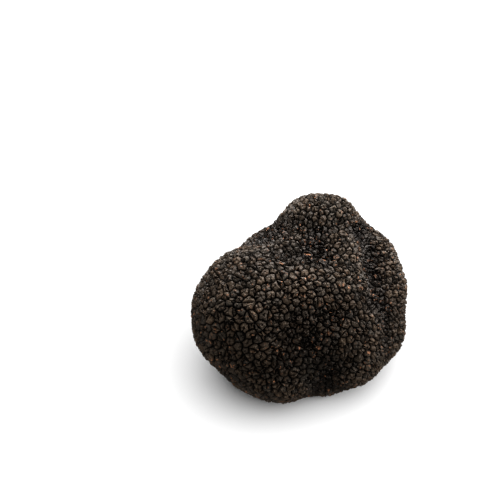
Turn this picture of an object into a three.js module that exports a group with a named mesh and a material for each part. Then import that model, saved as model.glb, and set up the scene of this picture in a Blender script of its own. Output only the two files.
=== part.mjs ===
// A whole black truffle, as dug and brushed clean: a firm, lumpy tuber of rounded lobes that run into one
// another with shallow furrows between them, closed all over by a skin of small polygonal warts.
// The tuber and its skin grew as one piece, so the object is one closed body.
// Units are millimetres and +Z is up. X is the truffle's long way and -Y is its front.
// The origin lies under the middle of the tuber, on the surface that it rests on.
import * as THREE from 'three';
import { ConvexHull } from 'three/addons/math/ConvexHull.js';
import { ImprovedNoise } from 'three/addons/math/ImprovedNoise.js';

// The lobes: each is a ball with its centre and radius, and the width of the warts that cover it.
// The places are taken from a point in the middle of the tuber.
const LOBES = [
  { name: 'core', at: [-1, 1, 0], radius: 15.8, wart: 2.5 },
  { name: 'front', at: [-11, -7, 0.5], radius: 18.2, wart: 2.65 },
  { name: 'middle', at: [1, -6.5, 5.5], radius: 12, wart: 2.6 },
  { name: 'chin', at: [-5.5, -13, -8.5], radius: 13.4, wart: 2.5 },
  { name: 'low', at: [6, -6, -4], radius: 14, wart: 2.45 },
  { name: 'low front', at: [14.5, -12.5, -9.5], radius: 8.6, wart: 2.4 },
  { name: 'low foot', at: [6.5, -12, -15], radius: 7.8, wart: 2.4 },
  { name: 'low right', at: [19, -3, -8.5], radius: 10.6, wart: 2.3 },
  { name: 'right', at: [15, 11.5, -5], radius: 13.8, wart: 2.15 },
  { name: 'right rim', at: [21, 4, 0], radius: 8.7, wart: 2.15 },
  { name: 'high right', at: [19, 11, 4], radius: 7.8, wart: 2.15 },
  { name: 'shoulder', at: [14, 16, 6.5], radius: 7, wart: 2.15 },
  { name: 'low ridge', at: [11.5, -10.5, -1.5], radius: 9.4, wart: 2.45 },
  { name: 'ridge', at: [9.5, -5.5, 9], radius: 7.4, wart: 2.35 },
  { name: 'high ridge', at: [10, 4.5, 11], radius: 7.2, wart: 2.25 },
  { name: 'saddle', at: [-0.5, 6, 4.5], radius: 12, wart: 2.4 },
  { name: 'head left', at: [3.5, 16.5, 12.5], radius: 8, wart: 2.1 },
  { name: 'head right', at: [9, 16, 12.5], radius: 8, wart: 2.1 },
  { name: 'nape', at: [5, 17, 3], radius: 10.6, wart: 2.25 },
  { name: 'back', at: [-5, 12, -3.5], radius: 13.9, wart: 2.5 },
  { name: 'left back', at: [-12, 4, -7.5], radius: 11.9, wart: 2.5 },
  { name: 'low back', at: [8, 13, -8], radius: 11.2, wart: 2.45 },
  { name: 'foot', at: [1, -0.5, -8.5], radius: 14.6, wart: 2.6 },
];
// How softly one lobe runs into the next: larger fills the furrows more.
const LOBE_BLEND = 1.8;
// How softly the width of the warts changes from one lobe to the next.
const WIDTH_BLEND = 3.6;
// Slow, shallow dents and swells over all the lobes.
const SWELL_HEIGHT = 0.9;
const SWELL_LENGTH = 11;

// A wart stands this far above the tuber's mean surface, and the grooves round it lie this far below.
const WART_RISE = 0.5;
const GROOVE_DEPTH = 0.5;
// Each wart may be this much wider or narrower than its lobe's warts, and this much higher or lower.
const WIDTH_SPREAD = 0.22;
const RISE_SPREAD = 0.35;
// No two warts start closer than this share of their widths.
const CLOSEST_SHARE = 0.755;
// Rounds in which each wart moves this share of the way to the middle of its neighbours.
const EVENING_ROUNDS = 1;
const EVENING_SHARE = 0.5;
const THROWS = 60000;
const SEED = 7;

// The underside is pressed flat from its lowest point to this height, which makes a small resting spot.
const FLAT_DEPTH = 1.9;

// Each search for the surface starts beyond it and goes inwards by this share of the distance left.
const FAR_OUT = 50;
const SEARCH_SHARE = 0.7;
const SEARCH_STEPS = 60;
// Half the width over which the slope of the surface is taken.
const NORMAL_STEP = 0.05;

const lobes = LOBES.map(({ at, radius, wart }) => ({ centre: new THREE.Vector3(...at), radius, wart }));
const noise = new ImprovedNoise();

// A repeatable random number from 0 to 1, by mixing the bits of a counter.
let randomState = SEED;
function random() {
  randomState = (randomState + 0x6d2b79f5) | 0;
  let t = Math.imul(randomState ^ (randomState >>> 15), 1 | randomState);
  t = (t + Math.imul(t ^ (t >>> 7), 61 | t)) ^ t;
  return ((t ^ (t >>> 14)) >>> 0) / 4294967296;
}

// The distance from a point to the smooth tuber: below zero inside.
function distanceToTuber(point) {
  let sum = 0;
  for (const { centre, radius } of lobes) {
    sum += Math.exp((radius - point.distanceTo(centre)) / LOBE_BLEND);
  }
  const swell = noise.noise(point.x / SWELL_LENGTH, point.y / SWELL_LENGTH, point.z / SWELL_LENGTH);
  return -LOBE_BLEND * Math.log(sum) - SWELL_HEIGHT * swell;
}

// The point where the smooth tuber's surface lies in a direction from its middle.
function surfacePoint(direction) {
  let reach = FAR_OUT;
  const point = new THREE.Vector3();
  for (let step = 0; step < SEARCH_STEPS; step += 1) {
    point.copy(direction).multiplyScalar(reach);
    reach -= SEARCH_SHARE * distanceToTuber(point);
  }
  return point.copy(direction).multiplyScalar(reach);
}

// The outward normal of the smooth tuber at a point.
function surfaceNormal(point) {
  const slope = ['x', 'y', 'z'].map((axis) => {
    const ahead = point.clone();
    const behind = point.clone();
    ahead[axis] += NORMAL_STEP;
    behind[axis] -= NORMAL_STEP;
    return distanceToTuber(ahead) - distanceToTuber(behind);
  });
  return new THREE.Vector3(...slope).normalize();
}

// The width of the warts at a point: that of the lobes that reach it, mixed by how near each is.
function wartWidth(point) {
  let weights = 0;
  let widths = 0;
  for (const { centre, radius, wart } of lobes) {
    const weight = Math.exp((radius - point.distanceTo(centre)) / WIDTH_BLEND);
    weights += weight;
    widths += weight * wart;
  }
  return widths / weights;
}

function randomDirection() {
  const z = 2 * random() - 1;
  const turn = 2 * Math.PI * random();
  const across = Math.sqrt(1 - z * z);
  return new THREE.Vector3(across * Math.cos(turn), across * Math.sin(turn), z);
}

// Warts thrown at random onto the tuber, each kept only where no other is too close.
function throwWarts() {
  const kept = [];
  for (let thrown = 0; thrown < THROWS; thrown += 1) {
    const direction = randomDirection();
    const point = surfacePoint(direction);
    const width = wartWidth(point) * (1 + WIDTH_SPREAD * (2 * random() - 1));
    const clear = kept.every((other) => {
      const closest = (CLOSEST_SHARE * (width + other.width)) / 2;
      return other.point.distanceToSquared(point) > closest * closest;
    });
    if (clear) {
      kept.push({ direction, point, width });
    }
  }
  return kept;
}

// The neighbours of the warts: every triangle of three warts that meet in one corner of the grooves.
function meetings(warts) {
  const order = new Map(warts.map(({ direction }, index) => [direction, index]));
  const hull = new ConvexHull().setFromPoints(warts.map(({ direction }) => direction));
  return hull.faces.map((face) => {
    const corners = [];
    let edge = face.edge;
    do {
      corners.push(order.get(edge.head().point));
      edge = edge.next;
    } while (edge !== face.edge);
    return corners;
  });
}

// Each wart moves towards the middle of its neighbours, so that the warts are nearly even in width.
function evenOut(warts) {
  const middles = warts.map(() => ({ sum: new THREE.Vector3(), count: 0 }));
  for (const corners of meetings(warts)) {
    corners.forEach((wart, k) => {
      const next = corners[(k + 1) % 3];
      middles[wart].sum.add(warts[next].point);
      middles[wart].count += 1;
    });
  }
  return warts.map(({ point }, index) => {
    const middle = middles[index].sum.divideScalar(middles[index].count);
    const direction = point.clone().lerp(middle, EVENING_SHARE).normalize();
    return { direction, point: surfacePoint(direction) };
  });
}

// A point of the skin: on the smooth surface in a direction, raised along its normal.
function skinPoint(direction, rise) {
  const point = surfacePoint(direction);
  return point.addScaledVector(surfaceNormal(point), rise);
}

// The skin: each wart is a low pyramid on a polygon, and the polygons share their edges as grooves.
function skinGeometry() {
  let warts = throwWarts();
  for (let round = 0; round < EVENING_ROUNDS; round += 1) {
    warts = evenOut(warts);
  }
  const triangles = meetings(warts);
  const tips = warts.map(({ direction }) => {
    const spread = 1 + RISE_SPREAD * (2 * random() - 1);
    return skinPoint(direction, WART_RISE * spread);
  });
  const corners = triangles.map((three) => {
    const middle = new THREE.Vector3();
    three.forEach((wart) => middle.add(warts[wart].point));
    return skinPoint(middle.normalize(), -GROOVE_DEPTH);
  });
  const cornerLeftOf = new Map();
  triangles.forEach((three, index) => {
    three.forEach((from, k) => cornerLeftOf.set(`${from} ${three[(k + 1) % 3]}`, tips.length + index));
  });
  const faces = [];
  for (const [key, left] of cornerLeftOf) {
    const [from, to] = key.split(' ').map(Number);
    faces.push(from, cornerLeftOf.get(`${to} ${from}`), left);
  }
  const positions = [...tips, ...corners].flatMap((point) => point.toArray());
  const geometry = new THREE.BufferGeometry();
  geometry.setAttribute('position', new THREE.Float32BufferAttribute(positions, 3));
  geometry.setIndex(faces);
  return geometry;
}

// Presses the underside flat and sets the tuber down on the plane z = 0, with its middle over the origin.
function setDown(geometry) {
  const position = geometry.getAttribute('position');
  geometry.computeBoundingBox();
  const floor = geometry.boundingBox.min.z + FLAT_DEPTH;
  for (let i = 0; i < position.count; i += 1) {
    position.setZ(i, Math.max(position.getZ(i), floor));
  }
  geometry.computeBoundingBox();
  const { min, max } = geometry.boundingBox;
  geometry.translate(-(min.x + max.x) / 2, -(min.y + max.y) / 2, -floor);
  geometry.computeVertexNormals();
  return geometry;
}

const skinMaterial = new THREE.MeshStandardMaterial({ color: '#2b2622', roughness: 0.62, metalness: 0 });
const truffle = new THREE.Mesh(setDown(skinGeometry()), skinMaterial);
truffle.name = 'truffle';

const group = new THREE.Group();
group.add(truffle);
export default group;
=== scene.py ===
# %% [markdown]
# # A black truffle
#
# A black truffle is a fungus that ripens under the ground. It is one firm tuber of rounded lobes, and its
# whole surface is a dry, nearly black skin, the peridium, broken into small polygonal warts with deep
# grooves between them. This lesson starts from a plain solid of the tuber, in which every wart is a low
# pyramid, and turns it into the real skin: warts with steep sides, cracked rims and sunken middles.

# %% The fixed frame
import math
import random

import bmesh
import bpy
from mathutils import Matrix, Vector
from mathutils.kdtree import KDTree


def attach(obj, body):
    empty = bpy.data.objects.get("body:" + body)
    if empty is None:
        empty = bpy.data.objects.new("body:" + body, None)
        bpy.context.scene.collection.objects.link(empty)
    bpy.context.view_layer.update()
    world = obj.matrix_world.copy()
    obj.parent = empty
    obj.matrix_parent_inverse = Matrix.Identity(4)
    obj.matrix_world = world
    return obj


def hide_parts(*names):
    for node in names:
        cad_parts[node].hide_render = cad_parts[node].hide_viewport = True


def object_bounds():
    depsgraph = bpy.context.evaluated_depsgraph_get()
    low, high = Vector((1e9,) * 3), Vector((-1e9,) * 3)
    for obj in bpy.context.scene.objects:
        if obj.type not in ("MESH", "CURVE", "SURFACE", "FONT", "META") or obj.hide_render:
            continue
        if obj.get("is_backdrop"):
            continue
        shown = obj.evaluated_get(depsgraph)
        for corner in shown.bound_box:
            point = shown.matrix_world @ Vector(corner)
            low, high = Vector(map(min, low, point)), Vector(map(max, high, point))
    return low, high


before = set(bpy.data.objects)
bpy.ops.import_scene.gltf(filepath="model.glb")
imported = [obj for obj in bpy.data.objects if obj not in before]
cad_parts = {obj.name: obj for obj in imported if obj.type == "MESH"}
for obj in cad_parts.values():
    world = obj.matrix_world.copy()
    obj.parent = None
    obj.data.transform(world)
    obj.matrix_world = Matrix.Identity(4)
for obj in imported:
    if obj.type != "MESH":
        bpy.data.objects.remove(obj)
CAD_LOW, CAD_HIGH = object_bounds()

MM = 0.001
TUBER_MIDDLE = (CAD_LOW + CAD_HIGH) / 2
print("the tuber measures, in mm:", [round(side / MM, 1) for side in CAD_HIGH - CAD_LOW])

# %% [markdown]
# ## The camera
#
# The photograph looks down on the truffle from about 42 degrees, from less than half a metre away, with a
# long lens that hardly widens the near side. The truffle lies right of the middle and below it. We could
# turn the lens aside with a shift, but a camera that aims a little past the truffle gives the same picture
# and works from any other side too.

# %% The camera at the photograph's angle
PHOTO_SIDE = 480
TUBER_PIXEL = (300.0, 296.5)
CAMERA_ELEVATION = math.radians(42)
CAMERA_DISTANCE = 0.37
CAMERA_LENS = 100.0
CAMERA_SENSOR = 36.0
NEAREST_SEEN = 10 * MM

to_right = Vector((1, 0, 0))
to_top = Vector((0, math.sin(CAMERA_ELEVATION), math.cos(CAMERA_ELEVATION)))
to_camera = Vector((0, -math.cos(CAMERA_ELEVATION), math.sin(CAMERA_ELEVATION)))
pixel = CAMERA_SENSOR / CAMERA_LENS * CAMERA_DISTANCE / PHOTO_SIDE
aim = TUBER_MIDDLE - to_right * (TUBER_PIXEL[0] - PHOTO_SIDE / 2) * pixel
aim += to_top * (TUBER_PIXEL[1] - PHOTO_SIDE / 2) * pixel

camera_data = bpy.data.cameras.new("camera")
camera_data.lens = CAMERA_LENS
camera_data.sensor_width = CAMERA_SENSOR
camera_data.clip_start = NEAREST_SEEN
camera = bpy.data.objects.new("camera", camera_data)
camera.location = aim + to_camera * CAMERA_DISTANCE
camera.rotation_euler = to_camera.to_track_quat("Z", "Y").to_euler()
bpy.context.scene.collection.objects.link(camera)
bpy.context.scene.camera = camera
print("one pixel of the photograph is", round(pixel / MM, 3), "mm on the truffle")

# %% [markdown]
# ## One face for each wart
#
# The solid arrives as loose triangles, so a copy of it is merged first. Each wart in it is a fan of
# triangles round a raised tip. If we take the tips out, each fan closes to one flat polygon, and the edges
# between the polygons are the grooves. The highest point of the solid is a tip, and from there the others
# are found by a rule of the fan: across the edge that lies opposite a tip, the next corner is the tip of
# the neighbour. They are kept in a dictionary, because a set holds them in another order on each run.
#
# The finished skin will carry numbers for its material: on each face the number and the look of its wart,
# and on each point its relief. Their places are made at once, because a place that is added later makes
# Blender lose track of the points and faces that a script holds on to.

# %% Merging a copy and taking the tips out
MERGE = 0.02 * MM

skin = bmesh.new()
skin.from_mesh(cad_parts["truffle"].data)
wart_number = skin.faces.layers.int.new("wart_number")
wart_relief = skin.verts.layers.float_vector.new("wart_relief")
wart_look = skin.faces.layers.float_vector.new("wart_look")
bmesh.ops.remove_doubles(skin, verts=skin.verts[:], dist=MERGE)


def neighbour_tips(tip):
    """The tips of the warts that share a groove with this tip's wart."""
    for face in tip.link_faces:
        opposite = next(edge for edge in face.edges if tip not in edge.verts)
        for beyond in opposite.link_faces:
            yield next(vert for vert in beyond.verts if vert not in opposite.verts)


first_tip = max(skin.verts, key=lambda vert: vert.co.z)
tips = {first_tip: None}
waiting = [first_tip]
while waiting:
    for tip in neighbour_tips(waiting.pop()):
        if tip not in tips:
            tips[tip] = None
            waiting.append(tip)
bmesh.ops.dissolve_verts(skin, verts=list(tips))
print("warts in the solid:", len(tips), "and polygons left:", len(skin.faces))

# %% [markdown]
# ## Small warts among the large ones
#
# On the real skin a young wart often sits beside a full-grown one, and none grows much wider than the
# rest. So a few of the larger polygons are split in two, and nearly all the overgrown ones. The cut goes
# between the two opposite corners that lie closest together, because a cut the long way leaves slivers.
# The draw is seeded, so each run splits the same ones.

# %% Splitting some of the larger polygons
SEED = 11
SPLIT_SHARE = 0.15
SPLIT_CORNERS = 6
OVERGROWN = 1.65


def shortest_cut(verts):
    """The two opposite corners of a polygon that lie closest together."""
    half = len(verts) // 2
    pairs = [(verts[start], verts[(start + half) % len(verts)]) for start in range(len(verts))]
    return min(pairs, key=lambda pair: (pair[0].co - pair[1].co).length)


random.seed(SEED)
mean_area = sum(face.calc_area() for face in skin.faces) / len(skin.faces)
for face in skin.faces[:]:
    size = face.calc_area() / mean_area
    large = len(face.verts) >= SPLIT_CORNERS and size > 1
    if large and (size > OVERGROWN or random.random() < SPLIT_SHARE):
        bmesh.utils.face_split(face, *shortest_cut(face.verts[:]))
print("warts after splitting:", len(skin.faces))

# %% [markdown]
# ## Crooked grooves
#
# The grooves are straight from corner to corner so far. One more point in the middle of each, moved a
# little to either side, makes them crooked, so that no wart keeps a ruler-straight side. Where the tuber
# is pressed against the table its warts are flat but the grooves between them stay open, so the lowest
# grooves are lifted off the table.

# %% Bending the grooves
CORNER_SHIFT = 0.10 * MM
BEND = 0.17 * MM
DEPTH_CHANGE = 0.09 * MM
LOWEST_GROOVE = 0.45 * MM

corners = set(skin.verts)
bmesh.ops.bisect_edges(skin, edges=skin.edges[:], cuts=1)
skin.normal_update()
for vert in skin.verts:
    sideways = Vector((random.uniform(-1, 1), random.uniform(-1, 1), random.uniform(-1, 1)))
    sideways -= vert.normal * sideways.dot(vert.normal)
    vert.co += sideways * (CORNER_SHIFT if vert in corners else BEND)
    vert.co += vert.normal * DEPTH_CHANGE * random.uniform(-1, 1)
    vert.co.z = max(vert.co.z, LOWEST_GROOVE)
skin.normal_update()
print("points along the grooves:", len(skin.verts))

# %% [markdown]
# ## Rings for each wart
#
# A wart needs a foot, a steep side, a shoulder and a top that can sink in. Each is a ring of faces inside
# the last one, which Inset Individual adds to every polygon at once, and Poke closes the innermost ring
# to a middle point. How far the insets go doesn't matter, because a later step puts every ring in its
# place. A number on each face, which the new faces take over, says which wart it belongs to.

# %% Insetting the rings
RING_COUNT = 3
FIRST_INSET = 0.05 * MM

tops = skin.faces[:]
for number, top in enumerate(tops):
    top[wart_number] = number
feet = [top.verts[:] for top in tops]
middles = [top.calc_center_median() for top in tops]
normals = [top.normal.copy() for top in tops]

rings = []
for _ in range(RING_COUNT):
    bmesh.ops.inset_individual(skin, faces=tops, thickness=FIRST_INSET, depth=0.0)
    rings.append([top.verts[:] for top in tops])
poked = bmesh.ops.poke(skin, faces=tops, offset=0.0)
centres = {vert.link_faces[0][wart_number]: vert for vert in poked["verts"]}
print("faces in the skin:", len(skin.faces))

# %% [markdown]
# ## Where the brushes reach, and where shade is painted
#
# After digging, truffles are cleaned with brushes. The brushes and every later touch wear the lobes' tops
# and miss the furrows between them. The same measure also sets painted shade: the furrows are coloured
# nearly black, as painted shade for the shade that falls into them. How far a wart stands out of the tuber
# tells
# crest and furrow apart: we look from it to every wart within reach and ask how steeply they lie below it.
# On average that is about 0.16 on a lobe's crest and less than zero in a furrow. A tree of places finds
# the warts within reach quickly.

# %% Measuring how far each wart stands out
REACH = 7 * MM
FURROW = -0.02
CREST = 0.16

places = KDTree(len(middles))
for number, middle in enumerate(middles):
    places.insert(middle, number)
places.balance()


def measure_wear_and_furrow_shade(middle, normal):
    """From 0 in a furrow, which gets painted shade, to 1 on a lobe's crest, where the tops wear."""
    around = [(middle - at) / distance for at, _, distance in places.find_range(middle, REACH) if distance]
    stands_out = sum(away.dot(normal) for away in around) / len(around)
    return max(0.0, min(1.0, (stands_out - FURROW) / (CREST - FURROW)))


# This share wears the tops on the crests, and in the furrows it brings painted shade into the colour.
wear_and_furrow_shades = [measure_wear_and_furrow_shade(middle, normal) for middle, normal in zip(middles, normals)]
print("warts that no brush reaches:", wear_and_furrow_shades.count(0.0), "of", len(wear_and_furrow_shades))

# %% [markdown]
# ## What each wart is like
#
# No two warts are alike. Each gets its own height and slant, ridges that run to its corners, a pit in its
# middle or none, and a few cracks from its middle to its rim, as the skin tears while the truffle swells.
# A crack follows one of the points along the wart's foot, and never two neighbouring ones. Some warts
# have rust spots. Lift, ridge, pit and crack are in millimetres, and slant is a rise for each millimetre.

# %% Drawing each wart's nature
LIFT = 0.05
SLANT = 0.07
RIDGE = (0.0, 0.35)
PIT_SHARE = 0.6
PIT_DEPTH = (0.30, 0.62)
CRACK_CHANCE = 0.5
CRACK_DEPTH = (0.15, 0.55)
RUSTY_SHARE = 0.35
RUST = (0.5, 1.0)
FAINT_RUST = (0.0, 0.3)


def draw_wart(number):
    """The shape and the look of one wart, with the directions that its top slants in."""
    normal = normals[number]
    along = normal.orthogonal().normalized()
    reach = [(vert.co - middles[number]).length for vert in feet[number]]
    cracks = [0.0] * len(reach)
    for place in range(random.randrange(2), len(reach) - 1, 2):
        if random.random() < CRACK_CHANCE:
            cracks[place] = random.uniform(*CRACK_DEPTH)
    return {
        "middle": middles[number],
        "normal": normal,
        "along": along,
        "across": normal.cross(along),
        "radius": sum(reach) / len(reach) / MM,
        "lift": random.uniform(-LIFT, LIFT),
        "slant": (random.uniform(-SLANT, SLANT), random.uniform(-SLANT, SLANT)),
        "cracks": cracks,
        "ridge": random.uniform(*RIDGE),
        "pit": random.uniform(*PIT_DEPTH) if random.random() < PIT_SHARE else 0.0,
        "rust": random.uniform(*(RUST if random.random() < RUSTY_SHARE else FAINT_RUST)),
        "tone": random.uniform(0, 1),
        # How far the wart lies on a crest, for its wear and for the painted shade of the furrows.
        "brushed": wear_and_furrow_shades[number],
    }


warts = [draw_wart(number) for number in range(len(tops))]
radii = [wart["radius"] for wart in warts]
print("wart radius in mm, least, mean, most:", min(radii), sum(radii) / len(radii), max(radii))

# %% [markdown]
# ## Shaping the warts
#
# Every ring point lies on the line from the wart's middle to the groove point outside it and is raised
# along the wart's own normal. The first ring lies a little inside the groove, and the next one closely
# inside that but much higher, which gives the steep side. The third lies halfway in on the top. Each row
# of the table below is a ring: how many millimetres it lies inside the groove, which share of the rest of
# the way it goes out, its height, how uneven it is, and how much of the ridges and cracks it takes.
#
# A ridge raises the points towards the corners and lowers those between, so the top is facetted. A crack
# lowers the points on its line and pulls in the rim, which notches the outline. A small wart has no width
# to carry the full height, so the height also goes with the radius. At the end, what would stand out of
# the solid's box is pressed back into it.

# %% Raising the rings
RINGS = (
    {"inset": 0.12, "share": 1.0, "height": 0.37, "uneven": 0.05, "ridge": 0.3, "crack": 0.7},
    {"inset": 0.31, "share": 1.0, "height": 0.82, "uneven": 0.08, "ridge": 0.9, "crack": 1.0},
    {"inset": 0.31, "share": 0.5, "height": 1.02, "uneven": 0.16, "ridge": 1.0, "crack": 0.8},
)
CENTRE_HEIGHT = 1.07
FULL_RADIUS = 1.05
SMALLEST_HEIGHT = 0.5
LEAST_SHARE = 0.35
CRACK_PULL = 0.22
AT_CORNER = 0.4
BETWEEN_CORNERS = -0.6
UNEVEN = 0.07


def rise(wart, place, height, uneven):
    """The height above the groove, in millimetres, at a place that is given from the wart's middle."""
    width = min(1.0, SMALLEST_HEIGHT + (1 - SMALLEST_HEIGHT) * wart["radius"] / FULL_RADIUS)
    slope = wart["slant"][0] * place.dot(wart["along"]) + wart["slant"][1] * place.dot(wart["across"])
    return width * height + wart["lift"] + slope / MM + random.uniform(-uneven, uneven)


for number, wart in enumerate(warts):
    for shape, ring in zip(RINGS, rings):
        for vert, foot, crack in zip(ring[number], feet[number], wart["cracks"]):
            outward = foot.co - wart["middle"]
            left = max(LEAST_SHARE, 1 - shape["inset"] * MM / outward.length)
            pull = 1 - CRACK_PULL * crack + random.uniform(-UNEVEN, UNEVEN) * (1 - left)
            place = outward * left * shape["share"] * pull
            up = rise(wart, place, shape["height"], shape["uneven"]) - crack * shape["crack"]
            up += wart["ridge"] * shape["ridge"] * (AT_CORNER if foot in corners else BETWEEN_CORNERS)
            vert.co = wart["middle"] + place + wart["normal"] * up * MM
            vert[wart_relief] = (up, crack, 0.0)
    centre = centres[number]
    up = rise(wart, Vector(), CENTRE_HEIGHT, UNEVEN) - wart["pit"]
    centre.co = wart["middle"] + wart["normal"] * up * MM
    centre[wart_relief] = (up, max(wart["cracks"]), wart["pit"])

for vert in skin.verts:
    vert.co = Vector(max(low, min(high, at)) for low, high, at in zip(CAD_LOW, CAD_HIGH, vert.co))
print("triangles:", sum(len(face.verts) - 2 for face in skin.faces))

# %% [markdown]
# ## What the material needs to know
#
# The cracks, the pits and the grooves are modelled, and their shade is also put into the colour as painted
# shade. Every point has stored its height above the groove, its crack and its pit, and every face now
# stores how rusty and how brown its wart is, and how far it lies on a crest, which sets its wear and, in
# the furrows, painted shade. Faces that meet at a sharp angle keep a crisp edge, and the others are shaded
# smoothly. If normals of the plain solid came along with the copy, they go, because the shape is new.

# %% Storing each wart's look and making the mesh
SHARP_ANGLE = math.radians(20)

for face in skin.faces:
    wart = warts[face[wart_number]]
    # The third number sets the wear on the crests and the painted shade in the furrows.
    face[wart_look] = (wart["rust"], wart["tone"], wart["brushed"])
    face.smooth = True

truffle_mesh = bpy.data.meshes.new("black_truffle")
skin.to_mesh(truffle_mesh)
skin.free()
if "custom_normal" in truffle_mesh.attributes:
    truffle_mesh.attributes.remove(truffle_mesh.attributes["custom_normal"])
truffle_mesh.set_sharp_from_angle(angle=SHARP_ANGLE)
truffle = bpy.data.objects.new("black_truffle", truffle_mesh)
bpy.context.scene.collection.objects.link(truffle)
print("attributes:", [attribute.name for attribute in truffle_mesh.attributes])

# %% [markdown]
# ## Three small helpers for materials
#
# Colours are written as they look on a screen and turned to the linear values that light works with. One
# function adds a node, sets it and links it, because a material is a list of such steps. The third starts
# a material with its Principled shader.

# %% Colour and node helpers


def linear(hex_colour):
    """An sRGB hex colour as linear red, green, blue and an alpha of 1."""
    channels = [int(hex_colour[i:i + 2], 16) / 255 for i in (1, 3, 5)]
    return (*[c / 12.92 if c <= 0.04045 else ((c + 0.055) / 1.055) ** 2.4 for c in channels], 1.0)


def add_node(tree, kind, settings=None, inputs=None):
    """Adds a node. Inputs maps a socket's name or number to a value or to the socket that feeds it."""
    node = tree.nodes.new(kind)
    for name, value in (settings or {}).items():
        setattr(node, name, value)
    for name, value in (inputs or {}).items():
        if isinstance(value, bpy.types.NodeSocket):
            tree.links.new(value, node.inputs[name])
        else:
            node.inputs[name].default_value = value
    return node


def new_material(name):
    """A material with its Principled shader, as the material, its tree and the shader."""
    material = bpy.data.materials.new(name)
    material.use_nodes = True
    return material, material.node_tree, material.node_tree.nodes["Principled BSDF"]


print("white is", linear("#ffffff"))

# %% [markdown]
# ## The peridium
#
# The skin is a crust of dead, melanised fungal cells. It is deep brown or grey on the warts, and paler
# where the highest tops on the crests are worn. Here and there a top has a rust red spot. The grooves are
# coloured black and the furrows between the lobes nearly black: both are painted shade, for the shade that
# falls into them. An image could carry all that, but colours that follow the stored height and wear fit
# every wart exactly. So the material first reads what the skin has stored, and three patterns in real
# millimetres: a fine grain, small round facets, and the spots of the rust. The real grain is finer than a
# pixel of the photograph, so it is drawn 0.3 mm wide, just coarse enough to show.

# %% What the peridium reads
GRAIN_WIDTH = 0.30 * MM
FACET_WIDTH = 0.8 * MM
SPOT_WIDTH = 0.9 * MM

peridium, tree, shader = new_material("black truffle peridium, brushed")
stored = []
for name in ("wart_relief", "wart_look"):
    vector = add_node(tree, "ShaderNodeAttribute", {"attribute_name": name}).outputs["Vector"]
    stored += add_node(tree, "ShaderNodeSeparateXYZ", None, {"Vector": vector}).outputs
# The last number read sets wear on the crests and painted shade in the furrows.
height, crack, pit, rust, tone, brushed = stored

place = add_node(tree, "ShaderNodeTexCoord").outputs["Object"]
grain_inputs = {"Vector": place, "Scale": 1 / GRAIN_WIDTH, "Detail": 2.0}
grain = add_node(tree, "ShaderNodeTexNoise", None, grain_inputs).outputs[0]
facet_inputs = {"Vector": place, "Scale": 1 / FACET_WIDTH}
facet = add_node(tree, "ShaderNodeTexVoronoi", {"feature": "F1"}, facet_inputs).outputs[0]
spot_inputs = {"Vector": place, "Scale": 1 / SPOT_WIDTH, "Detail": 1.0}
spot = add_node(tree, "ShaderNodeTexNoise", None, spot_inputs).outputs[0]
print("numbers stored in the skin:", len(stored))

# %% [markdown]
# ## Raised, worn, rusty and hollow
#
# Each look sets in over a range of what was read: a wart is out of its groove between 0.2 and 0.7 mm, for
# example, and its top is high enough to be worn from 0.68 mm on. A soft ramp turns each range to a share
# from 0 to 1. A hollow is a crack or a pit, whichever is stronger, and the shade painted into it follows
# that share. Where a look needs several things at once, such as wear, which takes a high top, a coarse
# grain and a place on a crest, away from the painted furrow shade, its shares are multiplied.

# %% How strongly each look shows
RAMPS = {
    "crack": (crack, 0.10, 0.32),
    "pit": (pit, 0.08, 0.30),
    # Below these heights the groove gets painted shade.
    "raised": (height, 0.20, 0.70),
    "high": (height, 0.68, 1.25),
    "coarse": (grain, 0.42, 0.60),
    "rust height": (height, 0.5, 0.9),
    "spotted": (spot, 0.61, 0.70),
}
LEAST_WEAR = 0.05
# How strongly shade is painted into cracks and pits.
HOLLOW_SHADE_STRENGTH = 0.75

share = {}
for name, (source, low, high) in RAMPS.items():
    ramp_inputs = {"Value": source, "From Min": low, "From Max": high}
    ramp = add_node(tree, "ShaderNodeMapRange", {"interpolation_type": "SMOOTHSTEP"}, ramp_inputs)
    share[name] = ramp.outputs[0]
# Tops wear on the crests, and hardly in the furrows, where shade is painted instead.
brush = add_node(tree, "ShaderNodeMapRange", None, {"Value": brushed, "To Min": LEAST_WEAR}).outputs[0]
deepest = {0: share["crack"], 1: share["pit"]}
hollow = add_node(tree, "ShaderNodeMath", {"operation": "MAXIMUM"}, deepest).outputs[0]

PRODUCTS = {
    "worn": (share["high"], share["coarse"], brush),
    "rusty": (rust, share["rust height"], share["spotted"]),
    # Painted shade in the cracks and pits.
    "hollow_shade": (hollow, HOLLOW_SHADE_STRENGTH),
}
for name, (product, *factors) in PRODUCTS.items():
    for factor in factors:
        product = add_node(tree, "ShaderNodeMath", {"operation": "MULTIPLY"}, {0: product, 1: factor})
        product = product.outputs[0]
    share[name] = product
print("looks of the peridium:", sorted(share))

# %% [markdown]
# ## The peridium's colours
#
# The colours are laid over each other like coats of paint, and each coat shows by its share. The warts go
# from a grey to a warm brown. In the furrows a nearly black coat of painted shade shows instead, and in
# the grooves a blacker coat of painted shade, so each of these two lies below the colour so far and shows
# where that has no share. The worn tops, the rust and the painted shade of cracks and pits go over it.

# %% Laying the colours over each other
GREY_BROWN = "#34302b"
WARM_BROWN = "#43362a"
# Painted shade: the furrows between the lobes are coloured nearly black.
FURROW_SHADE_BLACK = "#0b0a09"
# Painted shade: the grooves between the warts are coloured black.
GROOVE_SHADE_BLACK = "#030303"
BRUSHED_BROWN = "#7b6a58"
RUST_RED = "#a8714f"
# Painted shade in the cracks and pits.
HOLLOW_SHADE_BLACK = "#050404"
SO_FAR = None

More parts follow.
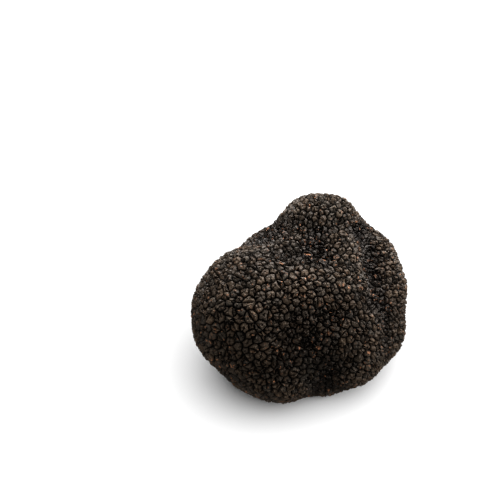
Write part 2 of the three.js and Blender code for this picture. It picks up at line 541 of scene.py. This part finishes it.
COATS = (
    (tone, SO_FAR, WARM_BROWN),
    # Painted shade in the furrows.
    (brushed, FURROW_SHADE_BLACK, SO_FAR),
    # Painted shade in the grooves.
    (share["raised"], GROOVE_SHADE_BLACK, SO_FAR),
    (share["worn"], SO_FAR, BRUSHED_BROWN),
    (share["rusty"], SO_FAR, RUST_RED),
    # Painted shade in the cracks and pits.
    (share["hollow_shade"], SO_FAR, HOLLOW_SHADE_BLACK),
)
colour = linear(GREY_BROWN)
for factor, below, above in COATS:
    below = linear(below) if below else colour
    above = linear(above) if above else colour
    coat_inputs = {"Factor": factor, "A": below, "B": above}
    colour = add_node(tree, "ShaderNodeMix", {"data_type": "RGBA"}, coat_inputs).outputs["Result"]
tree.links.new(colour, shader.inputs["Base Color"])
print("coats of colour:", len(COATS))

# %% [markdown]
# ## The peridium's grain and gloss
#
# The crust is dry, so its gloss is weak and broad, and a little warm. Its grain and the small round facets
# on each top are too fine to model. They go into a bump, in millimetres, with the floor of the cracks and
# pits. Roughness and reflection are the same all over, so they are set on the shader itself.

# %% Grain and gloss
BUMPS = ((grain, 0.12), (facet, -0.26), (hollow, -0.10))
ROUGHNESS = 0.42
REFLECTION = 0.24
WARM_GLOSS = "#e8d2c0"
CRUST_IOR = 1.45

relief = 0.0
for source, bump_height in BUMPS:
    sum_inputs = {0: source, 1: bump_height, 2: relief}
    relief = add_node(tree, "ShaderNodeMath", {"operation": "MULTIPLY_ADD"}, sum_inputs).outputs[0]
bump = add_node(tree, "ShaderNodeBump", None, {"Height": relief, "Distance": MM, "Strength": 1.0})
tree.links.new(bump.outputs[0], shader.inputs["Normal"])
shader.inputs["Roughness"].default_value = ROUGHNESS
shader.inputs["Specular IOR Level"].default_value = REFLECTION
shader.inputs["Specular Tint"].default_value = linear(WARM_GLOSS)
shader.inputs["IOR"].default_value = CRUST_IOR
truffle_mesh.materials.clear()
truffle_mesh.materials.append(peridium)
print("nodes in the peridium:", len(tree.nodes))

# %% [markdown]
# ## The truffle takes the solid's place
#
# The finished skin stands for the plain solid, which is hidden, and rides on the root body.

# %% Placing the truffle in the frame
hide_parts("truffle")
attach(truffle, "root")
print("the truffle's object sits at", list(truffle.location))

# %% [markdown]
# ## A white table
#
# The truffle lies on plain white. A sheet of matt white card, much wider than the picture, is enough. The
# truffle's skin sees nothing of it, because its glare from below would grey the skin.

# %% The table
TABLE_SIDE = 3.0
CARD_WHITE = "#f4f4f4"
CARD_ROUGHNESS = 0.9

table_shape = bmesh.new()
bmesh.ops.create_grid(table_shape, x_segments=1, y_segments=1, size=TABLE_SIDE / 2)
table_mesh = bpy.data.meshes.new("table")
table_shape.to_mesh(table_mesh)
table_shape.free()
table = bpy.data.objects.new("table", table_mesh)
bpy.context.scene.collection.objects.link(table)
white, _, white_shader = new_material("white matt card")
white_shader.inputs["Base Color"].default_value = linear(CARD_WHITE)
white_shader.inputs["Roughness"].default_value = CARD_ROUGHNESS
table_mesh.materials.append(white)
table.visible_diffuse = False
table.visible_glossy = False
table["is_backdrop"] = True
print("the table is", TABLE_SIDE, "m wide")

# %% [markdown]
# ## Soft light
#
# The light comes mostly from behind and above and from the right, so the truffle's top and right side are
# palest and its front falls into shade. Two weak boxes, one on the left and one in front, keep the shade
# readable. A black thing needs far more light than a white table, so the table has one wide box of its
# own, through light linking: it makes the table just white, with a wide soft shadow that is darkest to
# the lower left. Each box lights only what is in its collection.

# %% The lights
BOX_DISTANCE = 1.0
TRUFFLE_BOXES = {
    "back_box": ((0.35, 0.85, 1.0), 0.7, 24),
    "low_back_box": ((0.1, 1.0, 0.4), 0.6, 9),
    "right_box": ((1.0, 0.05, 0.4), 0.6, 13),
    "left_box": ((-1.0, 0.1, 0.45), 0.6, 3),
    "front_box": ((-0.3, -1.0, 0.3), 0.6, 3),
}
TABLE_BOXES = {
    "table_box": ((0.45, 0.1, 1.0), 3.0, 68),
}
SKY_WHITE = "#ffffff"
SKY_STRENGTH = 0.12

scene = bpy.context.scene


def soft_box(name, direction, side, power, lit):
    """A square light from a direction, with its side in metres, its power in watts and what it lights."""
    light = bpy.data.lights.new(name, "AREA")
    light.shape = "SQUARE"
    light.size = side
    light.energy = power
    lamp = bpy.data.objects.new(name, light)
    towards = Vector(direction).normalized()
    lamp.location = TUBER_MIDDLE + towards * BOX_DISTANCE
    lamp.rotation_euler = towards.to_track_quat("Z", "Y").to_euler()
    lamp.light_linking.receiver_collection = lit
    scene.collection.objects.link(lamp)


for boxes, thing in ((TRUFFLE_BOXES, truffle), (TABLE_BOXES, table)):
    lit = bpy.data.collections.new("only_" + thing.name)
    lit.objects.link(thing)
    for name, (direction, side, power) in boxes.items():
        soft_box(name, direction, side, power, lit)

world = bpy.data.worlds.new("studio")
scene.world = world
world.use_nodes = True
sky = world.node_tree.nodes["Background"]
sky.inputs["Color"].default_value = linear(SKY_WHITE)
sky.inputs["Strength"].default_value = SKY_STRENGTH
scene.view_settings.view_transform = "Standard"

# %% [markdown]
# ## Sizes
#
# The finished truffle has to fit the solid's box, so both boxes are written down.

# %% Writing the sizes
low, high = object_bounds()
print("visual size in mm:", [round((b - a) / MM, 2) for a, b in zip(low, high)])
